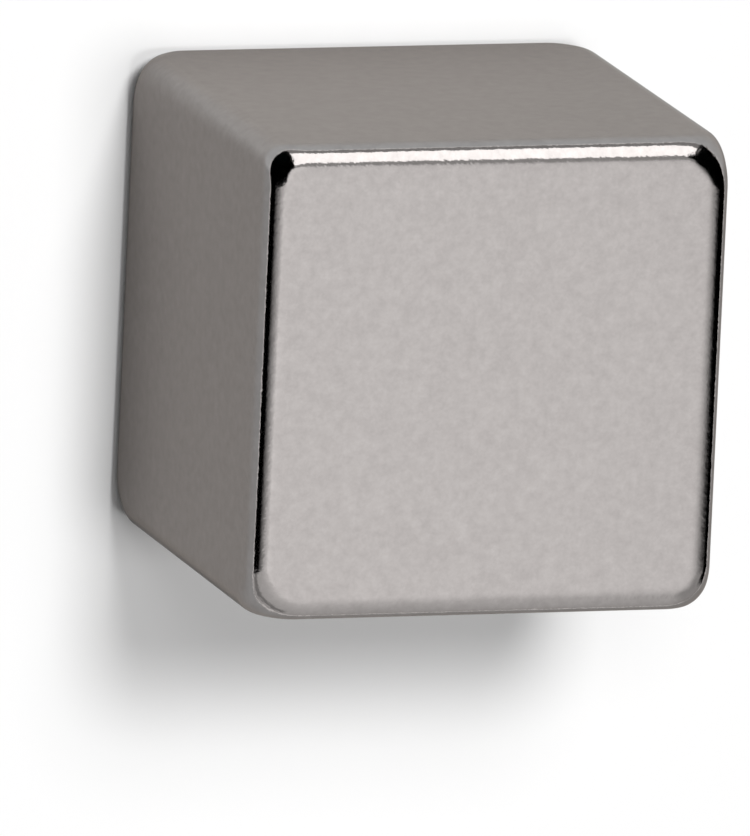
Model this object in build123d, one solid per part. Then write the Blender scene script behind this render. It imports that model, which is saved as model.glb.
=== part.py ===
from build123d import *
import os
from itertools import product
from math import sqrt

# A block magnet: one pressed and sintered cube, ground flat on all six sides, tumbled until every
# edge and corner is round, and plated all over. It is a single solid with no separate shell or core.
#
# The frame is in millimetres with +Z up. The magnetic axis runs along Z, from one pole face to the
# other, and the origin is the centre of the lower pole face, which the block stands on.

# Driving sizes
pole_face_width = 10.0      # across the pole faces, along X
pole_face_depth = 10.0      # across the pole faces, along Y
pole_spacing = 10.0         # from pole face to pole face, along Z
edge_radius = 0.45          # rounding of every edge
corner_wear = 0.95          # how far along each edge the tumbling wears a corner off

OUTPUT_FOLDER = "parts"


def ground_block():
    """The block as it leaves the grinder, with sharp edges, standing on its lower pole face."""
    return Box(
        pole_face_width,
        pole_face_depth,
        pole_spacing,
        align=(Align.CENTER, Align.CENTER, Align.MIN),
    )


def corner_planes():
    """One plane across each of the eight corners, facing outwards, set back by the corner wear."""
    setback = corner_wear / sqrt(3)
    planes = []
    for side_x, side_y, side_z in product((-1, 1), repeat=3):
        outward = Vector(side_x, side_y, side_z).normalized()
        corner = Vector(
            side_x * pole_face_width / 2,
            side_y * pole_face_depth / 2,
            pole_spacing / 2 + side_z * pole_spacing / 2,
        )
        planes.append(Plane(origin=corner - outward * setback, z_dir=outward))
    return planes


def magnet_block():
    """The ground block with its corners worn off and every edge rolled over by the tumbling drum."""
    block = ground_block()
    for plane in corner_planes():
        block = split(block, bisect_by=plane, keep=Keep.BOTTOM)
    return fillet(block.edges(), radius=edge_radius)


parts = {"magnet_block": magnet_block()}

os.makedirs(OUTPUT_FOLDER, exist_ok=True)
for node_name, solid in parts.items():
    export_step(solid, os.path.join(OUTPUT_FOLDER, node_name + ".step"))
    print(node_name, "volume", round(solid.volume, 3), "mm3, size", solid.bounding_box().size)
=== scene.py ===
# %% [markdown]
# A plated block magnet, dressed for a studio picture.
#
# The real thing is one sintered block, ground flat, tumbled so that its edges are round, and plated
# with bright nickel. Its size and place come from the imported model, which is loaded first as a frame.
# All lengths are in metres. The lower pole face lies on z = 0 and the upper one looks up, towards the
# camera. X runs to the right of the picture and Y runs up it.

# %% Load the frame and keep its box
import bpy
import math
import numpy as np
from mathutils import Euler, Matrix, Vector


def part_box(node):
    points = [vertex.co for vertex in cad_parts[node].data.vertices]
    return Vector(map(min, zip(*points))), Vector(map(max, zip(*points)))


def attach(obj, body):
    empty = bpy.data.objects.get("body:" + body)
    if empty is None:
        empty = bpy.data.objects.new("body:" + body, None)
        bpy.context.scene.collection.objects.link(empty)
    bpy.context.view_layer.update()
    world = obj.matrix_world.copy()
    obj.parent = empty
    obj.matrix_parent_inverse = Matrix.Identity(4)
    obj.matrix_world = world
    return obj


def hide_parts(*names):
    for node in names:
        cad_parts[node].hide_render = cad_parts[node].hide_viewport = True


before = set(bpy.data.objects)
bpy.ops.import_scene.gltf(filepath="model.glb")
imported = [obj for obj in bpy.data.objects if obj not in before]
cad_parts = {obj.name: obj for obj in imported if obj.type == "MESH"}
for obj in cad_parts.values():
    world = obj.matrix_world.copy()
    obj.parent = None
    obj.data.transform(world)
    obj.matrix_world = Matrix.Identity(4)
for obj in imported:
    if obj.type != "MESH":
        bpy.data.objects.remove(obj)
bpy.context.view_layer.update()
MM = 0.001
block_low, block_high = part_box("magnet_block")

# %% [markdown]
# Blender's shaders work in linear light, but a colour is easier to pick as the hex value that a screen
# shows. One function turns the one into the other, and every colour in this scene goes through it.

# %% Colour helper
def screen_colour(hex_text):
    """The linear RGBA of an sRGB colour such as '#C8C4C0'."""
    parts = [int(hex_text[i:i + 2], 16) / 255 for i in (1, 3, 5)]
    linear = [c / 12.92 if c <= 0.04045 else ((c + 0.055) / 1.055) ** 2.4 for c in parts]
    return (*linear, 1.0)


print("mid grey of a screen in linear light", [round(c, 3) for c in screen_colour("#808080")])

# %% [markdown]
# A material is a tree of nodes. Adding a node, setting its properties and filling its sockets is always
# the same work, so one function does it. A socket is linked where the value is another node's output,
# and is set to the value otherwise.

# %% Node helpers
def add_node(tree, kind, sockets=None, **settings):
    """Adds a node, sets its properties, and fills its input sockets by name or by number."""
    node = tree.nodes.new(kind)
    for name, value in settings.items():
        setattr(node, name, value)
    for key, value in (sockets or {}).items():
        if isinstance(value, bpy.types.NodeSocket):
            tree.links.new(value, node.inputs[key])
        else:
            node.inputs[key].default_value = value
    return node


def empty_material(name):
    """A material with nothing in its tree but the output."""
    material = bpy.data.materials.new(name)
    material.use_nodes = True
    material.node_tree.nodes.clear()
    output = add_node(material.node_tree, "ShaderNodeOutputMaterial")
    return material, material.node_tree, output


# The colour mix node keeps its two colours in these numbered sockets, and its result in this output.
FIRST_COLOUR = 6
SECOND_COLOUR = 7
MIXED_COLOUR = 2
print("node helpers are ready")

# %% [markdown]
# The camera looks down on the upper pole face, swung to the left and up, so that the left side and the
# far side show as well. The block's edges run almost parallel in the picture, so it was taken with a
# long lens from far off. An orthographic camera would come close, but the real one has a little
# perspective. The camera is built from two turns and a small roll, because those are what a
# photographer sets on a tripod.

# %% Where the camera stands
camera_distance = 0.65
camera_swing = math.radians(-18.02)
camera_tilt = math.radians(-12.60)
camera_roll = math.radians(2.61)
picture_height = 17.28 * MM
aim_right = -0.944 * MM
aim_up = -1.838 * MM

block_centre = (block_low + block_high) / 2
camera_turn = Euler((camera_tilt, camera_swing, camera_roll), "ZXY").to_matrix()
aim_point = block_centre + camera_turn @ Vector((aim_right, aim_up, 0))
looking = camera_turn @ Vector((0, 0, -1))
print("camera looks along", [round(c, 3) for c in looking])

# %% [markdown]
# The lens follows from the height of the picture at the block. Blender's sensor width is the picture's
# longer side, which is its height here.

# %% Camera
film_size = 36.0
near_clip = 0.1
far_clip = 10.0

camera_data = bpy.data.cameras.new("camera")
camera_data.sensor_width = film_size
camera_data.lens = film_size * camera_distance / picture_height
camera_data.clip_start = near_clip
camera_data.clip_end = far_clip
camera = bpy.data.objects.new("camera", camera_data)
camera.matrix_world = camera_turn.to_4x4()
camera.location = aim_point - looking * camera_distance
bpy.context.scene.collection.objects.link(camera)
bpy.context.scene.camera = camera
print("lens", round(camera_data.lens), "mm")

# %% [markdown]
# The block was tumbled in a drum after grinding, so it has no crisp line anywhere. An edge rolls over,
# and a corner loses more than an edge does, because it is struck from all sides. A bevel modifier on a
# cube makes an even rounding, and it can't wear each corner by itself. So the wear is written down as
# values first: one rounding for the twelve edges, one usual wear for the corners, and a smaller wear for
# two corners of the upper face, the far left one and the near right one, as the picture shows them.
#
# The fullness is the power of the rounding's curve: 2 would be a circle, and above 2 it leaves the
# flats more slowly, as a tumbled edge does. A slant tilts a corner's wear towards one axis.

# %% How much each corner and edge is worn
edge_radius = 0.60 * MM
edge_fullness = 2.5
usual_wear = 0.95 * MM
blend = 0.30 * MM
own_wear = {(-1, 1, 1): (0.62 * MM, (1, 1, 1.35)), (1, -1, 1): (0.80 * MM, (1, 1, 1))}

half_size = np.array((block_high - block_low) / 2)
corner_wear = np.full(8, usual_wear)
wear_slant = np.ones((8, 3))
for (side_x, side_y, side_z), (wear, slant) in own_wear.items():
    number = 4 * (side_x > 0) + 2 * (side_y > 0) + (side_z > 0)
    corner_wear[number] = wear
    wear_slant[number] = slant
print("wear of the eight corners", [round(wear / MM, 2) for wear in corner_wear], "mm")

# %% [markdown]
# The tumbled form is one function of a point in space. It is negative inside the metal, positive
# outside, and zero on the skin. It starts from a box whose twelve edges are rolled over. A slanting
# plane then wears off each corner, and the two meet in a soft blend. The plain CAD solid has this form
# too, but it carries few facets, and bright plating shows each one.

# %% The tumbled form as a function
def outside(points):
    """How far each point lies outside the tumbled skin; points are measured from the block's centre."""
    size = np.abs(points)
    beyond = size - (half_size - edge_radius)
    reach = (np.maximum(beyond, 0) ** edge_fullness).sum(axis=1) ** (1 / edge_fullness)
    rolled = reach + np.minimum(beyond.max(axis=1), 0) - edge_radius
    corner = (points > 0) @ np.array([4, 2, 1])
    slant = wear_slant[corner]
    worn = (((size - half_size) * slant).sum(axis=1) + corner_wear[corner]) / np.linalg.norm(slant, axis=1)
    overlap = np.maximum(blend - np.abs(rolled - worn), 0)
    return np.maximum(rolled, worn) + overlap ** 2 / (4 * blend)


print("a sharp corner would stick out by", round(float(outside(half_size[None, :])[0]) / MM, 3), "mm")

# %% [markdown]
# The mesh starts as a plain box with a grid on each side. All the shape is in the rim, and the middle of
# each side is flat, so the grid is fine near the edges and wide across the flats. A subdivided cube
# would need many times as many faces for the same rim.

# %% Grid lines along one side of the box
rim_band = 1.6 * MM
rim_steps = 22
flat_steps = 6


def grid_lines(half):
    """Positions from one end of a side to the other, close together in the two rim bands."""
    rim = np.linspace(-half, -half + rim_band, rim_steps + 1)
    flat = np.linspace(-half + rim_band, half - rim_band, flat_steps + 1)
    return np.concatenate([rim, flat[1:-1], -rim[::-1]])


print("grid lines along X", len(grid_lines(half_size[0])))

# %% [markdown]
# Six such grids make the box. Two grids meet along an edge of the box and three meet at a corner, so
# each point is kept once, under its place, and the mesh comes out closed with nothing to merge.

# %% The six sides, joined along the box's edges
def boxed_grid():
    """Points of a closed grid over the box, and the four point numbers of each of its faces."""
    numbers = {}
    faces = []
    for axis in range(3):
        across, along = (axis + 1) % 3, (axis + 2) % 3
        across_lines, along_lines = grid_lines(half_size[across]), grid_lines(half_size[along])
        for side in (-1, 1):
            sheet = []
            for u in across_lines:
                row = []
                for v in along_lines:
                    point = [0.0, 0.0, 0.0]
                    point[axis], point[across], point[along] = side * half_size[axis], u, v
                    key = tuple(round(c / MM, 5) for c in point)
                    row.append(numbers.setdefault(key, len(numbers)))
                sheet.append(row)
            for row, next_row in zip(sheet, sheet[1:]):
                for k in range(len(row) - 1):
                    face = (row[k], next_row[k], next_row[k + 1], row[k + 1])
                    faces.append(face if side > 0 else face[::-1])
    return np.array(list(numbers)) * MM, faces


box_points, box_faces = boxed_grid()
print("box grid", len(box_points), "points", len(box_faces), "faces")

# %% [markdown]
# Each grid point now slides inwards until it meets the skin. It starts on the box, outside the metal,
# and aims at a place well inside. Halving the way again and again finds the skin to far below a
# micrometre. The normals come from the slope of the same function, so they are exact, and a reflection
# runs over an edge without a step. Normals worked out from the faces would ripple there.

# %% Slide the grid onto the skin
halvings = 40
probe_step = 0.0001 * MM


def skin_points(start):
    """Each box point moved inwards to where the form's function is zero."""
    inner = np.clip(start, rim_band - half_size, half_size - rim_band)
    outer = start.copy()
    for _ in range(halvings):
        middle = (inner + outer) / 2
        is_out = (outside(middle) > 0)[:, None]
        outer = np.where(is_out, middle, outer)
        inner = np.where(is_out, inner, middle)
    return (inner + outer) / 2


def skin_normals(points):
    """The direction in which the form's function grows fastest."""
    slopes = [
        outside(points + probe_step * axis) - outside(points - probe_step * axis) for axis in np.eye(3)
    ]
    normals = np.stack(slopes, axis=1)
    return normals / np.linalg.norm(normals, axis=1)[:, None]


tumbled_points = skin_points(box_points)
moved = np.linalg.norm(tumbled_points - box_points, axis=1)
print("the tumbling takes off at most", round(float(moved.max()) / MM, 3), "mm")

# %% [markdown]
# The block itself: one closed mesh from those points, shaded smooth, with the exact normals stored on
# it. The plating is thinner than a hair, so it is a finish on this mesh and no shell of its own.

# %% Tumbled block
def rounded_block(name):
    """The tumbled block as one closed mesh with exact normals."""
    mesh = bpy.data.meshes.new(name)
    mesh.from_pydata((tumbled_points + np.array(block_centre)).tolist(), [], box_faces)
    mesh.polygons.foreach_set("use_smooth", [True] * len(mesh.polygons))
    mesh.normals_split_custom_set_from_vertices(skin_normals(tumbled_points).tolist())
    piece = bpy.data.objects.new(name, mesh)
    bpy.context.scene.collection.objects.link(piece)
    return piece


plated_block = rounded_block("plated_block")
print("plated block", len(plated_block.data.vertices), "vertices", len(plated_block.data.polygons), "faces")

# %% [markdown]
# The finish is bright nickel, electroplated over the ground and tumbled block. Such a plating copies
# what lies under it. The ground faces keep a fine grain, so they reflect softly, like satin. The rolled
# edges were rubbed in the drum, so they mirror the room sharply, but with a slight ripple.
#
# Both are one metal, so one material serves, and it has to know where the flats end. The normal says
# so: on a flat it points along an axis, and its largest part is 1. The largest part falls as the edge
# rolls over, and it is the cosine of the angle that the edge has turned. Two materials on two sets of
# faces would show a line where they meet.

# %% How flat the skin is at each point
nickel, nickel_tree, nickel_output = empty_material("bright_nickel_plating")
place = add_node(nickel_tree, "ShaderNodeTexCoord")
facing = add_node(nickel_tree, "ShaderNodeVectorMath", {0: place.outputs["Normal"]}, operation="ABSOLUTE")
facing_parts = add_node(nickel_tree, "ShaderNodeSeparateXYZ", {0: facing.outputs[0]})
larger_side = add_node(
    nickel_tree,
    "ShaderNodeMath",
    {0: facing_parts.outputs["X"], 1: facing_parts.outputs["Y"]},
    operation="MAXIMUM",
)
flatness = add_node(
    nickel_tree,
    "ShaderNodeMath",
    {0: larger_side.outputs[0], 1: facing_parts.outputs["Z"]},
    operation="MAXIMUM",
)
ground_below = math.radians(4)
polished_above = math.radians(14)
edge_to_face = {
    "Value": flatness.outputs[0],
    "From Min": math.cos(polished_above),
    "From Max": math.cos(ground_below),
}
print("the finish changes between flatness", [round(edge_to_face[end], 4) for end in ("From Min", "From Max")])

# %% [markdown]
# Roughness is how far a metal blurs what it mirrors. Bright nickel on polished metal is near 0.05. The
# rubbed edges are a little duller than that, and the ground faces duller still.

# %% Sharp edges and soft faces
edge_roughness = 0.10
face_roughness = 0.24
roughness = add_node(
    nickel_tree,
    "ShaderNodeMapRange",
    {**edge_to_face, "To Min": edge_roughness, "To Max": face_roughness},
    interpolation_type="SMOOTHSTEP",
)
print("roughness", edge_roughness, "on the edges and", face_roughness, "on the faces")

# %% [markdown]
# The grit leaves grains of a few hundredths of a millimetre, which one pixel of the picture covers, so
# the grain is drawn coarser than it is, at 0.16 mm. It is a bump: the surface stays as it is, and only
# the light is told that it waves. On the mirror-like edges the same bump is let through almost whole,
# where it gives the long reflections their uneven borders. The flats need only a little, because
# their roughness already blurs.

# %% Grain of the ground and tumbled metal
grain_size = 0.16 * MM
grain_height = 0.006 * MM
edge_grain = 0.9
face_grain = 0.12
grain = add_node(
    nickel_tree,
    "ShaderNodeTexNoise",
    {"Vector": place.outputs["Object"], "Scale": 1 / grain_size, "Detail": 2.0, "Roughness": 0.6},
)
grain_depth = add_node(
    nickel_tree,
    "ShaderNodeMapRange",
    {**edge_to_face, "To Min": edge_grain, "To Max": face_grain},
    interpolation_type="SMOOTHSTEP",
)
grain_bump = add_node(
    nickel_tree,
    "ShaderNodeBump",
    {"Height": grain.outputs["Fac"], "Strength": grain_depth.outputs["Result"], "Distance": grain_height},
)
print("grain", round(grain_size / MM, 3), "mm wide and", round(grain_height / MM, 4), "mm high")

# %% [markdown]
# The plating also looks faintly mottled, because the bath lays it down unevenly over the ground. The
# mottling is drawn at 0.22 mm, coarser than the real one, so that it shows. Two close warm greys, mixed
# by a noise, give it. Nickel is a warm grey: it reflects red a little better than blue.

# %% Mottling of the plating
mottle_size = 0.22 * MM
darker_nickel = screen_colour("#A6A19F")
lighter_nickel = screen_colour("#C2BDBB")
mottle = add_node(
    nickel_tree,
    "ShaderNodeTexNoise",
    {"Vector": place.outputs["Object"], "Scale": 1 / mottle_size, "Detail": 3.0, "Roughness": 0.65},
)
mottled = add_node(
    nickel_tree,
    "ShaderNodeMix",
    {"Factor": mottle.outputs["Fac"], FIRST_COLOUR: darker_nickel, SECOND_COLOUR: lighter_nickel},
    data_type="RGBA",
)
print("mottling", round(mottle_size / MM, 3), "mm wide")

# %% [markdown]
# The shader brings these together. A metal has no colour under its surface, so all its colour is in the
# reflection, and it keeps the shader's own index of refraction. The tint is what the metal mirrors at a
# grazing angle. Nickel's is warm and not quite white.

# %% Bright nickel plating
plating = add_node(
    nickel_tree,
    "ShaderNodeBsdfPrincipled",
    {
        "Base Color": mottled.outputs[MIXED_COLOUR],
        "Metallic": 1.0,
        "Roughness": roughness.outputs["Result"],
        "Specular Tint": screen_colour("#D8D0CA"),
        "Normal": grain_bump.outputs["Normal"],
    },
)
nickel_tree.links.new(plating.outputs[0], nickel_output.inputs["Surface"])
plated_block.data.materials.append(nickel)
print("nickel plating has", len(nickel_tree.nodes), "nodes")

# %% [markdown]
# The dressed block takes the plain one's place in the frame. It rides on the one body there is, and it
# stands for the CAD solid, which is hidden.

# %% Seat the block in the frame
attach(plated_block, "root")
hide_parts("magnet_block")
print("plated block stands for magnet_block")

# %% [markdown]
# The block lies on a wide sheet of white paper, which takes its shadow. Paper scatters light evenly, so
# a plain diffuse shader is the whole of it. It reaches far past the picture, and no border shows. Four
# points are enough, as it is flat.

# %% Paper floor
paper_reach = 1.0
floor_corners = [(x * paper_reach, y * paper_reach, 0) for x, y in ((-1, -1), (1, -1), (1, 1), (-1, 1))]
floor_mesh = bpy.data.meshes.new("paper_floor")
floor_mesh.from_pydata(floor_corners, [], [(0, 1, 2, 3)])
paper_floor = bpy.data.objects.new("paper_floor", floor_mesh)
bpy.context.scene.collection.objects.link(paper_floor)

paper, paper_tree, paper_output = empty_material("white_paper")
paper_surface = add_node(paper_tree, "ShaderNodeBsdfDiffuse", {"Color": screen_colour("#FCFCFC")})
paper_tree.links.new(paper_surface.outputs[0], paper_output.inputs["Surface"])
floor_mesh.materials.append(paper)
print("paper", round(2 * paper_reach, 1), "m wide")

# %% [markdown]
# Some studio props are there for the reflections alone. Blender can hide an object from each kind of
# ray, so such a prop is hidden from the camera, from the light on the paper and from the shadows.

# %% Props that only the metal sees
def only_in_the_metal(prop):
    """Hides a studio prop from the camera and from the paper, so that only reflections show it."""
    prop.visible_camera = False
    prop.visible_diffuse = False
    prop.visible_shadow = False


print("props for the metal alone can be made")

# %% [markdown]
# The upright sides mirror the ground beside the block. They show it as grey, darker beside the left
# side than beside the far side, while the paper itself is white. So the metal is shown a grey sheet just
# above the paper, in place of the paper. Its grey is painted shade on the ground, which only reflections
# see. The sheet is still lit by the lamps and takes the block's real shadow. It is darker up to about the
# far side, and it turns lighter there, over a few millimetres. The lighter grey is painted light, where
# the lamps from beyond the far side fall on the ground. The share of the lighter grey is painted on the
# sheet's points as an attribute, because four rows of points then hold the whole change.

# %% Grey sheet of painted shade and painted light
sheet_half = 42 * MM
sheet_lift = 0.01 * MM
change_start = 3.5 * MM
change_end = 6.5 * MM
grey_rows = ((-sheet_half, 0.0), (change_start, 0.0), (change_end, 1.0), (sheet_half, 1.0))
sheet_corners = [(side * sheet_half, y, sheet_lift) for y, _ in grey_rows for side in (-1, 1)]
# The sheet's grey is painted shade on the ground, seen only in the metal's reflections.
sheet_mesh = bpy.data.meshes.new("painted_shade_sheet")
sheet_mesh.from_pydata(sheet_corners, [], [(k, k + 1, k + 3, k + 2) for k in (0, 2, 4)])
# The share of the lighter grey is painted light on the ground beyond the far side, where the far lamps fall.
painted_light_share = sheet_mesh.attributes.new("painted_light_share", "FLOAT", "POINT")
painted_light_share.data.foreach_set("value", [share for _, share in grey_rows for _ in (-1, 1)])
painted_shade_sheet = bpy.data.objects.new("painted_shade_sheet", sheet_mesh)
bpy.context.scene.collection.objects.link(painted_shade_sheet)

grey, grey_tree, grey_output = empty_material("painted_shade_card")
painted_share = add_node(grey_tree, "ShaderNodeAttribute", attribute_name="painted_light_share")
# The darker grey is painted shade on the ground beside the left side; the lighter grey is painted light beyond
# the far side.
painted_shade_grey = screen_colour("#B4B6B7")
painted_light_grey = screen_colour("#D2D6D8")
two_greys = add_node(
    grey_tree,
    "ShaderNodeMix",
    {"Factor": painted_share.outputs["Fac"], FIRST_COLOUR: painted_shade_grey, SECOND_COLOUR: painted_light_grey},
    data_type="RGBA",
)
grey_surface = add_node(grey_tree, "ShaderNodeBsdfDiffuse", {"Color": two_greys.outputs[MIXED_COLOUR]})
grey_tree.links.new(grey_surface.outputs[0], grey_output.inputs["Surface"])
sheet_mesh.materials.append(grey)
only_in_the_metal(painted_shade_sheet)
print("grey sheet", round(2 * sheet_half / MM), "mm wide")

# %% [markdown]
# The shadow is soft, short at the left and longest towards the lower edge of the picture, so the light
# comes steeply down, from overhead and from beyond the far side. Four far lamps make it. A sun lamp
# gives even light over the whole paper, and its angle is the size of the soft box that it stands for.
# Area lamps would do the same, but each would need its own size and distance. The lamps leave no
# reflection of their own, because the studio dome, further on, has the reflections.

# %% Soft lamps
def soft_lamp(name, slope_x, slope_y, spread_degrees, level):
    """A far lamp whose light comes down along the given slopes; level is the paper's brightness from it."""
    lamp_data = bpy.data.lights.new(name, "SUN")
    lamp_data.angle = math.radians(spread_degrees)
    towards = Vector((slope_x, slope_y, 1)).normalized()
    lamp_data.energy = math.pi * level / towards.z
    lamp = bpy.data.objects.new(name, lamp_data)
    lamp.rotation_mode = "QUATERNION"
    lamp.rotation_quaternion = towards.to_track_quat("Z", "Y")
    lamp.visible_glossy = False
    bpy.context.scene.collection.objects.link(lamp)
    return lamp


soft_boxes = (
    ("overhead_box", 0.05, 0.01, 13, 0.30),
    ("strip_box", 0.02, 0.40, 13, 0.38),
    ("far_box", 0.06, 0.52, 16, 0.17),
    ("left_box", -0.22, 0.36, 12, 0.08),
)
for box in soft_boxes:
    soft_lamp(*box)
room_light = 0.09
print("paper level", round(sum(box[-1] for box in soft_boxes) + room_light, 2), "of white")

# %% [markdown]
# The world is the light that a white room throws back from everywhere. It is weak, and it only keeps
# the shadow from going black. The camera and the reflections see the room as plain white instead,
# which the light path node tells apart.

# %% World
world = bpy.data.worlds.new("studio")
bpy.context.scene.world = world
world.use_nodes = True
world_tree = world.node_tree
world_tree.nodes.clear()
ray = add_node(world_tree, "ShaderNodeLightPath")
seen_directly = add_node(
    world_tree,
    "ShaderNodeMath",
    {0: ray.outputs["Is Camera Ray"], 1: ray.outputs["Is Glossy Ray"]},
    operation="MAXIMUM",
)
seen = add_node(
    world_tree,
    "ShaderNodeMath",
    {0: seen_directly.outputs[0], 1: ray.outputs["Is Transmission Ray"]},
    operation="MAXIMUM",
)
room_level = add_node(
    world_tree, "ShaderNodeMapRange", {"Value": seen.outputs[0], "To Min": room_light, "To Max": 1.0}
)
room = add_node(
    world_tree,
    "ShaderNodeBackground",
    {"Color": screen_colour("#FFFFFF"), "Strength": room_level.outputs["Result"]},
)
add_node(world_tree, "ShaderNodeOutputWorld", {"Surface": room.outputs[0]})
print("world light", room_light)

# %% [markdown]
# Bright plating is a mirror, so most of its look comes from what stands round it. The studio round the
# block is one dome that only reflections see. Each card of the studio is a patch on it with soft
# borders: how far round it reaches, how high it reaches, and how bright it is. Real cards, as planes
# with their own materials, would work too, but one painted dome has no gaps between them.

# %% Patches with soft borders
def soft_step(value, edge, softness):
    """0 below an edge and 1 above it, with a smooth change of the given width."""
    share = np.clip((value - edge) / softness + 0.5, 0, 1)
    return share * share * (3 - 2 * share)


def patch(azimuth, elevation, ends, rows, soft_ends, soft_rows):
    """How much a card covers each direction; ends and rows are its two sides and its foot and top."""
    middle = (ends[0] + ends[1]) / 2
    off = np.abs((azimuth - middle + 180) % 360 - 180)
    across = 1 - soft_step(off, (ends[1] - ends[0]) / 2, soft_ends)
    foot_softness = 1.0
    above_foot = soft_step(elevation, rows[0], foot_softness)
    return across * above_foot * (1 - soft_step(elevation, rows[1], soft_rows))


print("half way over a card's border it covers", float(soft_step(10.0, 10.0, 4.0)))

# %% [markdown]
# The walls come first. Azimuth 0 is along X and 90 along Y, in degrees, and elevation is above the
# floor. A wall's brightness is written at a few elevations, where 1 is white paper in full light. All
# walls are darker near the floor and bright near the ceiling, which is what gives a rolled edge its run
# from light to dark. The upper face of the block mirrors the ceiling, at about 68 degrees.

# %% Walls of the studio
near_wall = ([-10, 0, 30, 45, 54, 62, 72], [0.55, 0.60, 0.70, 0.80, 0.93, 1.19, 1.12])

# ends, foot and top, softness of the ends, softness of the top, elevations, brightness at each of them
side_walls = {
    "left wall": (
        (100, 201), (-30, 100), 3, 1,
        [-10, -2, 18, 30, 46, 61, 73], [0.0, 0.0, 0.0, 0.25, 0.60, 1.00, 1.20],
    ),
    "right wall": (
        (-24, 50), (-30, 100), 6, 1,
        [-20, 25, 34, 44, 54, 62, 72], [0.0, 0.0, 0.15, 0.52, 0.87, 1.19, 1.12],
    ),
    "lower part of the near right wall": ((-60, -20), (-30, 44), 16, 24, [0], [0.46]),
}
print("walls", 1 + len(side_walls))

# %% [markdown]
# Then the cards, each over the ones before it. Black cards give the dark lines down the left and right
# rims and in the corners. One bright strip lamp at the far side gives the white line along the upper
# rim, between two thin grey borders.

# %% Cards of the studio
# ends, foot and top, softness of the ends, softness of the top, brightness
studio_cards = {
    "black card at the right": ((-8, 50), (-30, 60), 6, 6, 0.0),
    "black card at the lower right": ((-31, -5), (-30, 14), 6, 10, 0.0),
    "grey border at the right": ((25, 50), (55, 68), 8, 4, 0.45),
    "bright strip lamp": ((47, 104), (8, 55), 1.5, 2, 2.2),
    "grey foot of the strip lamp": ((47, 104), (-30, 8), 1.5, 1, 0.36),
    "grey border over the strip lamp": ((47, 100), (56, 67), 4, 4, 0.45),
    "black card at the left": ((104, 186), (-30, 67), 3, 8, 0.0),
    "grey card at the lower left": ((202, 264), (-3, 8), 3, 6, 0.3),
}
print("studio cards", len(studio_cards))

# %% [markdown]
# One function of a direction puts it all together. It starts from the near wall, lays the side walls
# over it and then the cards, each by how much it covers there.

# %% How bright the studio is in each direction
def studio_light(azimuth, elevation):
    """Brightness of the studio in each direction, where 1 is white paper in full light."""
    light = np.interp(elevation, *near_wall)
    for ends, rows, soft_ends, soft_rows, heights, levels in side_walls.values():
        cover = patch(azimuth, elevation, ends, rows, soft_ends, soft_rows)
        light = light * (1 - cover) + np.interp(elevation, heights, levels) * cover
    for ends, rows, soft_ends, soft_rows, brightness in studio_cards.values():
        cover = patch(azimuth, elevation, ends, rows, soft_ends, soft_rows)
        light = light * (1 - cover) + brightness * cover
    return light


ceiling = studio_light(np.array([-35.0]), np.array([68.0]))
print("brightness that the upper face mirrors", round(float(ceiling[0]), 2))

# %% [markdown]
# The dome is a grid of points round the block, with the studio's brightness painted on it as an
# attribute. Its material glows with that brightness. It stands close, at 60 mm, so that the far ends of
# the block see it from slightly different places, as in a small light tent. It adds no light of its own
# to the paper: a mirror ray that meets it reads the brightness, and the lamps do the rest.

# %% Dome points and painted light
dome_radius = 60 * MM
dome_centre = np.array((0, 0, block_high.z))
dome_columns = 240
dome_rows = 100
dome_foot = -9.4
dome_top = 89.9


def dome_mesh(name):
    """A dome round the block, open below, with the studio's brightness painted on its points."""
    azimuths = np.linspace(0, 360, dome_columns, endpoint=False)
    elevations = np.linspace(dome_foot, dome_top, dome_rows)
    grid_azimuth, grid_elevation = np.meshgrid(azimuths, elevations)
    turn, rise = np.radians(grid_azimuth).ravel(), np.radians(grid_elevation).ravel()
    towards = np.stack([np.cos(turn) * np.cos(rise), np.sin(turn) * np.cos(rise), np.sin(rise)], axis=1)
    faces = []
    for row in range(dome_rows - 1):
        for column in range(dome_columns):
            after = (column + 1) % dome_columns
            low, high = row * dome_columns, (row + 1) * dome_columns
            faces.append((low + column, low + after, high + after, high + column))
    mesh = bpy.data.meshes.new(name)
    mesh.from_pydata((dome_centre + dome_radius * towards).tolist(), [], faces)
    light = mesh.attributes.new("light", "FLOAT", "POINT")
    light.data.foreach_set("value", studio_light(grid_azimuth.ravel(), grid_elevation.ravel()))
    return mesh


dome = bpy.data.objects.new("studio_dome", dome_mesh("studio_dome"))
bpy.context.scene.collection.objects.link(dome)
print("studio dome", len(dome.data.vertices), "points")

# %% [markdown]
# The glow reads the painted brightness. The renderer is told not to treat the dome as a lamp, which
# keeps it out of the light on the paper and saves time.

# %% Glow of the dome
dome_glow, dome_tree, dome_output = empty_material("studio_dome")
painted_light = add_node(dome_tree, "ShaderNodeAttribute", attribute_name="light")
glow = add_node(dome_tree, "ShaderNodeEmission", {"Strength": painted_light.outputs["Fac"]})
dome_tree.links.new(glow.outputs[0], dome_output.inputs["Surface"])
dome_glow.cycles.emission_sampling = "NONE"
dome.data.materials.append(dome_glow)
only_in_the_metal(dome)
print("dome glow has", len(dome_tree.nodes), "nodes")

# %% [markdown]
# The plain view transform shows colours as they are, so white paper stays white.

# %% Plain view transform
bpy.context.scene.view_settings.view_transform = "Standard"
bpy.context.view_layer.update()
